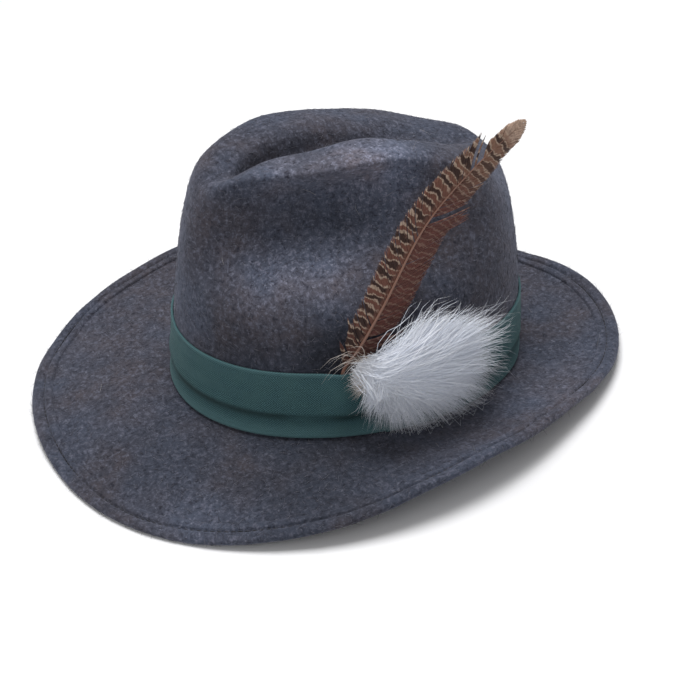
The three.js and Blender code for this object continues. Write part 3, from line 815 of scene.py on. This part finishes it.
# %% Profile of the ribbon
RIBBON_COLUMNS = 560
POCKET_FLOOR = BAND_HEIGHT - QUILL_TUCK - 2 * QUILL_RADIUS
lap_start = math.radians(LAP_TURN)
lap_end = lap_start + LAP_LENGTH / HALF_LENGTH
BAND_PROFILE = {
    "height": [0, 0.6, 1.6, 3.0, 4.6, 6.2, 8.0, 10.0, 11.6, 12.3, 12.9, 13.5, 14.4, 15.6, 18, 21, 24.5,
               28, 31.5, 34.5, 36.2, 36.8, 37.4, 37.9],
    "out": [1.5, 1.9, 1.95, 1.75, 1.5, 1.3, 1.15, 1.05, 1.0, 1.0, 1.15, 1.75, 2.0, 1.95, 1.75, 1.55,
            1.4, 1.3, 1.25, 1.2, 1.2, 1.3, 1.3, 1.1],
}
print("lap from", LAP_TURN, "to", round(math.degrees(lap_end), 1), "degrees")


def bulge(u, height):
    """How far the quill behind it pushes the ribbon out."""
    arc = ((u - math.radians(QUILL_TURN) + np.pi) % (2 * np.pi) - np.pi) * HALF_LENGTH
    share = np.clip(height / POCKET_FLOOR, 0, 1)
    return share * (2 * QUILL_RADIUS + GAP) * np.exp(-0.5 * (arc / (5 * QUILL_RADIUS)) ** 2)


def band_point(u, height, raised):
    u, height, raised = np.broadcast_arrays(u, height, raised)
    return felt_point(wall, u, wall_share(u, BREAK_ROLL + height), GAP + bulge(u, height) + raised)


# %% [markdown]
# Cloth that is pulled round a crown is never quite even, so the profile sways a little from
# place to place. The sway is calm at the lower edge, which lies tight against the felt.

# %% The ribbon
def hat_band():
    """Rows of points of the ribbon's closed skin, and the same rows for its UV map."""
    step = LAP_STEP / HALF_LENGTH
    whole = lap_start + np.arange(RIBBON_COLUMNS) / RIBBON_COLUMNS * 2 * np.pi
    extra = [lap_start + step, lap_end, lap_end + 10 * step, lap_start + 2 * np.pi - step]
    u = np.sort(np.concatenate([whole, extra]))[:, None]
    height, out = (np.array(BAND_PROFILE[key])[None] for key in ("height", "out"))
    over = np.interp(u, [lap_start, lap_end, lap_end + 10 * step], [1, 1, 0])
    where = band_point(u, height, 0)
    drape = lumps(where * [1, 1, 2.5], 16, 0.28) + lumps(where, 5, 0.06)
    fold = 0.75 + lumps(break_point(u + 0 * height), 30, 0.5)
    calm = np.clip(height / 4, 0, 1)
    outer_skin = band_point(u, height, 1.0 + (out - 1.0) * fold + drape * calm + over * BAND_THICKNESS)
    inner_skin = band_point(u, np.array([[37.9, POCKET_FLOOR, 0.0]]), 0.0)
    points = np.concatenate([outer_skin, inner_skin], 1)
    heights = np.concatenate([height[0], [BAND_HEIGHT, POCKET_FLOOR, 0]])[None]
    uv = np.stack(np.broadcast_arrays(u * HALF_LENGTH, heights), -1) / RIBBON_UV
    return settle(points), uv


grid, uv = hat_band()
make_piece("ribbon_band", grid.reshape(-1, 3), quads(*grid.shape[:2]).tolist(), ribbon_cloth,
           "hat_band", uv.reshape(-1, 2))

# %% [markdown]
# The feather is a pheasant's. Its quill is pushed down behind the ribbon, and its shaft curves
# with the crown. The path is a smooth curve through the quill's two ends and five knots, which
# are shares of the crown's sizes.

# %% Path of the shaft
FEATHER_PATH = {
    "across": [0.995, 1.0, 0.93, 0.915, 0.9],
    "along": [-0.33, -0.21, 0.05, 0.32, 0.625],
    "up": [0.418, 0.563, 0.835, 1.02, 1.17],
}


def smooth_path(knots, fine=200):
    """A curve through the knots, as evenly spaced points."""
    ends = np.vstack([2 * knots[0] - knots[1], knots, 2 * knots[-1] - knots[-2]])
    gap = np.sum(np.diff(ends, axis=0) ** 2, 1) ** 0.25
    f = np.arange(fine)[:, None] / fine
    parts = []
    for k in range(len(knots) - 1):
        a, b, c, d = ends[k:k + 4]
        g, h, i = gap[k:k + 3]
        leave = ((b - a) / g - (c - a) / (g + h) + (c - b) / h) * h
        arrive = ((c - b) / h - (d - b) / (h + i) + (d - c) / i) * h
        parts.append(b + leave * f + (3 * (c - b) - 2 * leave - arrive) * f**2
                     + (2 * (b - c) + leave + arrive) * f**3)
    line = np.vstack([*parts, knots[-1:]])
    travel = travelled(line)
    return read_off(np.linspace(0, travel[-1], 2001), travel, line), travel[-1]


quill_turn = math.radians(QUILL_TURN)


def quill(height):
    """A point of the quill, which lies against the crown."""
    return felt_point(wall, quill_turn, wall_share(quill_turn, height), GAP + QUILL_RADIUS)


path_sizes = (("across", HALF_WIDTH), ("along", HALF_LENGTH), ("up", CROWN_HEIGHT))
path = np.stack([np.array(FEATHER_PATH[key]) * size for key, size in path_sizes], -1)
shaft, shaft_length = smooth_path(np.vstack([quill(BAND_TOP - QUILL_TUCK), quill(BAND_TOP), path]))
bare = (QUILL_TUCK + QUILL_BARE) / shaft_length
vane_length = shaft_length * (1 - bare)
print("shaft:", round(shaft_length, 1), "mm, of which", round(vane_length, 1), "carry the vane")

# %% [markdown]
# A feather twists a little on its way up, so each place on the shaft has its own directions: on
# along it, ahead towards the front of the hat, and the normal, away from the crown.

# %% Shaft
def feather_frame(share):
    """Centre, direction, sideways and normal of the feather at shares of its length."""
    place, marks = np.clip(share, 0, 1) * (len(shaft) - 1), np.arange(len(shaft))
    centre = read_off(place, marks, shaft)
    along = unit(read_off(place, marks, np.gradient(shaft, axis=0)))
    face = outward(quill_turn + math.radians(FEATHER_TWIST) * np.clip(share, 0, 1))
    ahead = unit(np.cross(face, along))
    return centre, along, ahead, np.cross(along, ahead)


def shaft_tube():
    share = np.linspace(0, 0.94, 60)
    centre, along, ahead, normal = feather_frame(share)
    wide = QUILL_RADIUS * np.interp(share, [0, bare, 0.6, 1], [1, 0.85, 0.45, 0.12]) * MM
    return strands(settle(centre + normal * 0.25)[None], wide[None], 8, 0.8, turn_over(normal)[None])


horn = finish("quill_horn", lambda w: {"Base Color": (0.20, 0.10, 0.07, 1), "Roughness": 0.4})
points, faces, _ = shaft_tube()
make_piece("feather_shaft", points, faces, horn, "feather")

# %% [markdown]
# The front vane is barred in dark blots with thin cream outlines. The back vane is redder, with
# faint bars. Both get paler towards the tip, where the bars run right across.

# %% Barred colours of the vane
BAR_PERIOD = 6.6  # mm from one bar to the next
BACK_RUST, FRONT_RUST, UPPER_BROWN = (0.098, 0.030, 0.023), (0.135, 0.054, 0.038), (0.23, 0.13, 0.085)
FOOT_SHADE, CREAM_LINE, DARK_BAR = (0.045, 0.014, 0.011), (0.40, 0.31, 0.24), (0.030, 0.014, 0.011)
PALE_TIP, BARB_SHADE = (0.48, 0.34, 0.26), (0.06, 0.026, 0.018)


def stripe(value, middle, half):
    """1 on a soft stripe round middle, 0 beside it."""
    return abs(value - middle).step(half, half * 0.55)


def barring(w):
    share, side = w.shares()
    across = abs(side - 0.5)
    wavy = w.noise(5, 2) - 0.5
    period = (share * (vane_length / BAR_PERIOD) + wavy - across * 0.35).math("FRACT")
    front = side.step(0.5, 0.53)
    upper = share.step(0.6, 0.85)
    strong = (front * across.step(0.04, 0.14) + upper * 0.85).clip()
    tone = front.blend(BACK_RUST, FRONT_RUST)
    tone = (upper * 0.7).blend(tone, UPPER_BROWN)
    tone = (share.step(0.24, 0.0) * 0.85).blend(tone, FOOT_SHADE)
    lines = (stripe(period, 0.08, 0.09) + stripe(period, 0.6, 0.08)).clip()
    tone = (lines * (strong * 0.6 + 0.2)).blend(tone, CREAM_LINE)
    tone = (stripe(period, 0.34, 0.24) * (strong * 0.78 + 0.2)).blend(tone, DARK_BAR)
    tone = (share.step(0.88, 0.93) * 0.8).blend(tone, PALE_TIP)
    tone = (w.noise(0.8, 2, 0.6).step(0.4, 0.7) * 0.3).blend(tone, BARB_SHADE)
    return {"Base Color": tone, "Roughness": 0.6, "Specular IOR Level": 0.3}


feather_vane = finish("feather_vane", barring)

# %% [markdown]
# A vane is not a sheet but hundreds of barbs side by side, so each barb is a thin strip here. It
# ends on the vane's outline and is rooted further down the shaft, by its own lean. In a few
# places the vane has parted, and some barbs stick out as wisps.

# %% Outline of the vane
VANE_OUTLINE = {
    "along": [0.0, 0.06, 0.15, 0.3, 0.46, 0.6, 0.65, 0.69, 0.82, 0.87, 0.874, 0.95, 0.985, 1.0],
    "front": [0.1, 0.24, 0.4, 0.45, 0.45, 0.45, 0.44, 0.44, 0.4, 0.42, 0.2, 0.2, 0.12, 0.03],
    "back": [0.1, 0.26, 0.42, 0.52, 0.55, 0.52, 0.58, 0.46, 0.4, 0.34, 0.32, 0.26, 0.15, 0.03],
}
VANE_END = 0.98  # where the last barb ends on the path
LEAN_BY_SHARE = {"share": [0.0, 0.5, 0.85, 1.0], "degrees": [50, 40, 32, 24]}
SPLITS = {
    "front": [(0.2, 0.5), (0.5, 0.4)],
    "back": [(0.15, 0.6), (0.335, 0.5), (0.66, 0.9), (0.76, 0.5)],
}
WISPS = {"front": [(0.08, 1.35), (0.17, 1.2)], "back": [(0.2, 1.45), (0.645, 1.5), (0.66, 1.3)]}
BARBS, BARB_PLACES, BARB_FLATNESS = 250, 7, 0.22
print("partings:", sum(map(len, SPLITS.values())), "wisps:", sum(map(len, WISPS.values())))

# %% [markdown]
# All the barbs of one side are worked out at once, as arrays of barbs by places along them. Each
# sets off steeply and turns towards the tip, and droops a little at its end.

# %% Barbs of the vane
def barbs(side, number, seed):
    """Barbs on one side: a strip each, from the shaft out to the outline."""
    dice = np.random.default_rng(seed)
    end = np.linspace(0.03, 1.0, number)
    width = FEATHER_WIDTH * np.interp(end, VANE_OUTLINE["along"], VANE_OUTLINE[side])
    end = end * VANE_END
    width *= dice.uniform(0.95, 1.03, number)
    for place, reach in WISPS[side]:
        width *= np.where(np.abs(end - place) < 0.007, reach * dice.uniform(0.8, 1.1, number), 1)
    lean = np.interp(end, LEAN_BY_SHARE["share"], LEAN_BY_SHARE["degrees"])
    lean = np.radians(lean + dice.normal(0, 1.2, number))
    root = np.maximum(end - width / np.tan(lean) / vane_length, 0)
    for place, gap in SPLITS[side]:
        off = end - place
        end = end + gap / vane_length * np.sign(off) * np.exp(-np.abs(off) / 0.02)
    f = np.linspace(0, 1, BARB_PLACES)
    sideways = width[:, None] * f
    advance = (end - root)[:, None] * vane_length * (0.7 * f + 0.3 * f**2)
    share = bare + (1 - bare) * root[:, None] + advance / shaft_length
    centre, along, ahead, normal = feather_frame(share)
    beyond = np.maximum(share - 1, 0)[..., None] * shaft_length
    curl = -0.012 * sideways**2 + dice.normal(0, 0.12, (number, 1)) * f + 0.15
    sign = 1 if side == "front" else -1
    paths = centre + along * beyond + ahead * (sideways * sign)[..., None] + normal * curl[..., None]
    broad = np.interp(end, [0.85, 0.93], [1.0, 1.7])[:, None]
    wide = np.interp(f, [0, 0.6, 0.9, 1], [0.5, 0.46, 0.34, 0.08])[None] * MM * broad
    points, faces, _ = strands(settle(paths), wide, 4, BARB_FLATNESS, turn_over(normal))
    uv = np.stack([(share - bare) / (1 - bare), 0.5 + sign * sideways / FEATHER_WIDTH], -1)
    return points, faces, np.repeat(uv.reshape(-1, 2), 4, axis=0)


for side, seed in (("front", 21), ("back", 22)):
    points, faces, uv = barbs(side, BARBS, seed)
    make_piece("feather_barbs_" + side, points, faces, feather_vane, "feather", uv)

# %% [markdown]
# Down is white all through and lets light in. Towards the root it is painted darker, as painted shade
# where the hairs are packed. Each hair has its own tone. A weak glow of its own colour stands for the
# light that passes through.

# %% White and cream down
def down(w, low, high):
    """Values for hairs whose tones lie between two colours."""
    tone, along = w.shares()
    shade = tone.blend(low, high)
    # Painted shade towards the root, where the hairs are packed.
    shade = (along.step(0.22, 0.0) * 0.35).blend(shade, (0.55, 0.55, 0.58))
    return {"Base Color": shade, "Roughness": 0.6, "Specular IOR Level": 0.2, "Sheen Weight": 0.3,
            "Emission Color": shade, "Emission Strength": 0.07}


white_down = finish("white_down", lambda w: down(w, (0.62, 0.66, 0.75), (0.86, 0.88, 0.93)))
cream_down = finish("cream_down", lambda w: down(w, (0.42, 0.34, 0.28), (0.74, 0.72, 0.71)))

# %% [markdown]
# White down has thousands of silky barbs that are bound at one point. They fan out over the
# ribbon towards the back, arch away from the crown and hang at their ends, where they gather in
# pointed locks. The solids hold the same fan as a few locks, and its table of reach is used
# here for every hair.

# %% Hairs from the bound head
PLUME_FAN = {"angle": [-150, -95, -68, -33, -8, 20, 45, 66, 120, 180],
             "reach": [0.16, 0.3, 0.5, 0.76, 1.0, 0.98, 0.8, 0.62, 0.2, 0.16]}
ROOT_RISE, ROOT_SPREAD, DROOP, STRAY, WAVE = 5.0, 3.6, 0.2, 0.055, 0.03
LOWEST_HAIR, NEAREST_HAIR, LOOSENESS = 3.0, 3.4, 1.3  # mm
head_out = GAP + 2 * BAND_THICKNESS + BAND_TUCK + GAP + PLUME_HEAD
plume_turn = math.radians(PLUME_TURN)
print("the plume's head stands out", round(head_out, 1), "mm")


def plume_point(s, height, out):
    """A place s mm round the crown from the plume's root, at a height, out from the wall."""
    u = plume_turn + s / HALF_LENGTH
    point = break_point(u) + outward(u) * out[..., None]
    point[..., 2] += height
    return point


def fan_reach(angle):
    """How far the fan reaches at an angle in degrees."""
    return PLUME_REACH * np.interp(angle, PLUME_FAN["angle"], PLUME_FAN["reach"])


def fan_out(reach, angle):
    """Ends of hairs along and up from the head, at an angle in radians."""
    return np.stack([reach * np.cos(angle), reach * np.sin(angle)], -1).reshape(-1, 2)


def hairs(name, dice, ends, lift, bow, wide, material):
    """Hairs from the bound head: ends is (hairs, 2) along and up from it, in mm."""
    count = len(ends)
    f = np.linspace(0, 1, 6)[None]
    long = np.linalg.norm(ends, axis=1)[:, None]
    over = bow * long * 2 * f * (1 - f)
    stray = dice.normal(0, STRAY, (2, count, 1)) * long * f * f
    wave = dice.normal(0, WAVE, (count, 1)) * long * np.sin(2 * np.pi * f)
    root = dice.normal(0, ROOT_SPREAD, (2, count, 1)) * (1 - f) ** 2
    along = root[0] + ends[:, :1] * f + over * 0.25 + stray[0] + wave
    height = BAND_TOP + ROOT_RISE * (1 - f) + ends[:, 1:] * f + over - DROOP * long * f * f
    height = height + root[1] + stray[1] - wave
    height = np.maximum(height, LOWEST_HAIR + dice.random((count, 1)))
    out = head_out * (1 - 0.35 * f * f) + lift * (PLUME_DEPTH - head_out) * np.sin(np.pi * f**0.75)
    out = np.maximum(out + dice.normal(0, LOOSENESS, (count, 1)) * (0.4 + f), NEAREST_HAIR)
    paths = settle(plume_point(along, height, out))
    thick = wide * MM * np.interp(f, [0, 0.3, 0.75, 1], [0.8, 1.0, 0.7, 0.12])
    points, faces, share = strands(paths, thick * dice.uniform(0.7, 1.25, (count, 1)), 3)
    tone = np.repeat(dice.random(count), len(points) // count)
    make_piece(name, points, faces, material, "plume", np.stack([tone, share], -1))


# %% [markdown]
# Down falls into locks. A lock is a group of hairs that end close together, so the ends are
# drawn lock by lock inside the fan's outline: a loose layer below, and tighter locks over it.
# Most point back along the ribbon, and a few hang down over it.

# %% Under and over layers of the plume
HANGING_SHARE = 0.14
UNDER_LOCKS, UNDER_EACH, OVER_LOCKS, OVER_EACH = 240, 25, 300, 19


def fan_ends(dice, locks, each, ragged, gather):
    """Ends of hairs inside the fan's outline, gathered in pointed locks."""
    hanging = dice.random(locks) < HANGING_SHARE
    angle = np.where(hanging, dice.uniform(-108, -5, locks), dice.normal(10, 22, locks).clip(-28, 48))
    reach = fan_reach(angle) * dice.uniform(1 - ragged, 0.94, locks)
    angles = np.radians(angle[:, None] + dice.normal(0, gather, (locks, each)))
    own = reach[:, None] * (1 - np.abs(dice.normal(0, 0.2, (locks, each))))
    return fan_out(own, angles)


dice = np.random.default_rng(31)
ends = fan_ends(dice, UNDER_LOCKS, UNDER_EACH, 0.75, 9)
lift = dice.uniform(-0.1, 0.9, (len(ends), 1))
hairs("plume_under", dice, ends, lift, bow=0.2, wide=0.14, material=white_down)
ends = fan_ends(dice, OVER_LOCKS, OVER_EACH, 0.45, 4.0)
lift = np.repeat(dice.uniform(0.1, 1.0, OVER_LOCKS), OVER_EACH)[:, None]
hairs("plume_over", dice, ends, lift, bow=0.2, wide=0.11, material=white_down)

# %% [markdown]
# The softest parts of the outline are wisps: thin locks that reach past the rest. They lie low
# in the fan, where the real ones let some of the ribbon show between them.

# %% Wisps of the plume
WISP_LOCKS, WISP_EACH = 110, 11

wisp_turn = np.repeat(dice.normal(-24, 32, WISP_LOCKS).clip(-95, 22), WISP_EACH)
angle = np.radians(wisp_turn + dice.normal(0, 2.0, WISP_LOCKS * WISP_EACH))
reach = fan_reach(np.degrees(angle)) * np.repeat(dice.uniform(0.95, 1.2, WISP_LOCKS), WISP_EACH)
reach *= dice.uniform(0.85, 1.0, WISP_LOCKS * WISP_EACH)
lift = np.repeat(dice.uniform(0.0, 1.0, WISP_LOCKS), WISP_EACH)[:, None]
hairs("plume_wisps", dice, fan_out(reach, angle), lift, bow=0.2, wide=0.09, material=white_down)

# %% [markdown]
# Where the plume is bound, a small tuft of cream and tan down curls forward, and a few single
# hairs of it lie on the felt above the ribbon.

# %% Cream tuft at the root
TUFT, CURLS = 420, 18
angle, reach = np.radians(dice.uniform(120, 255, TUFT)), dice.uniform(4, 14, TUFT)
lift = dice.uniform(-0.3, 0.3, (TUFT, 1))
hairs("plume_tuft", dice, fan_out(reach, angle), lift, bow=0.25, wide=0.11, material=cream_down)
angle, reach = np.radians(dice.uniform(118, 168, CURLS)), dice.uniform(14, 30, CURLS)
lift = dice.uniform(-0.6, 0.2, (CURLS, 1))
hairs("plume_curls", dice, fan_out(reach, angle), lift, bow=0.5, wide=0.17, material=cream_down)

# %% [markdown]
# Under it all lies a plain pale floor, which belongs to the set and not to the hat.

# %% Floor
FLOOR_HALF = 3  # metres
floor_mesh = bpy.data.meshes.new("floor")
corners = [(x * FLOOR_HALF, y * FLOOR_HALF, 0) for x, y in ((-1, -1), (1, -1), (1, 1), (-1, 1))]
floor_mesh.from_pydata(corners, [], [(0, 1, 2, 3)])
paper = finish("pale_floor", lambda w: {"Base Color": (0.86, 0.86, 0.87, 1), "Roughness": 0.9})
floor_mesh.materials.append(paper)
floor = bpy.data.objects.new("floor", floor_mesh)
scene.collection.objects.link(floor)
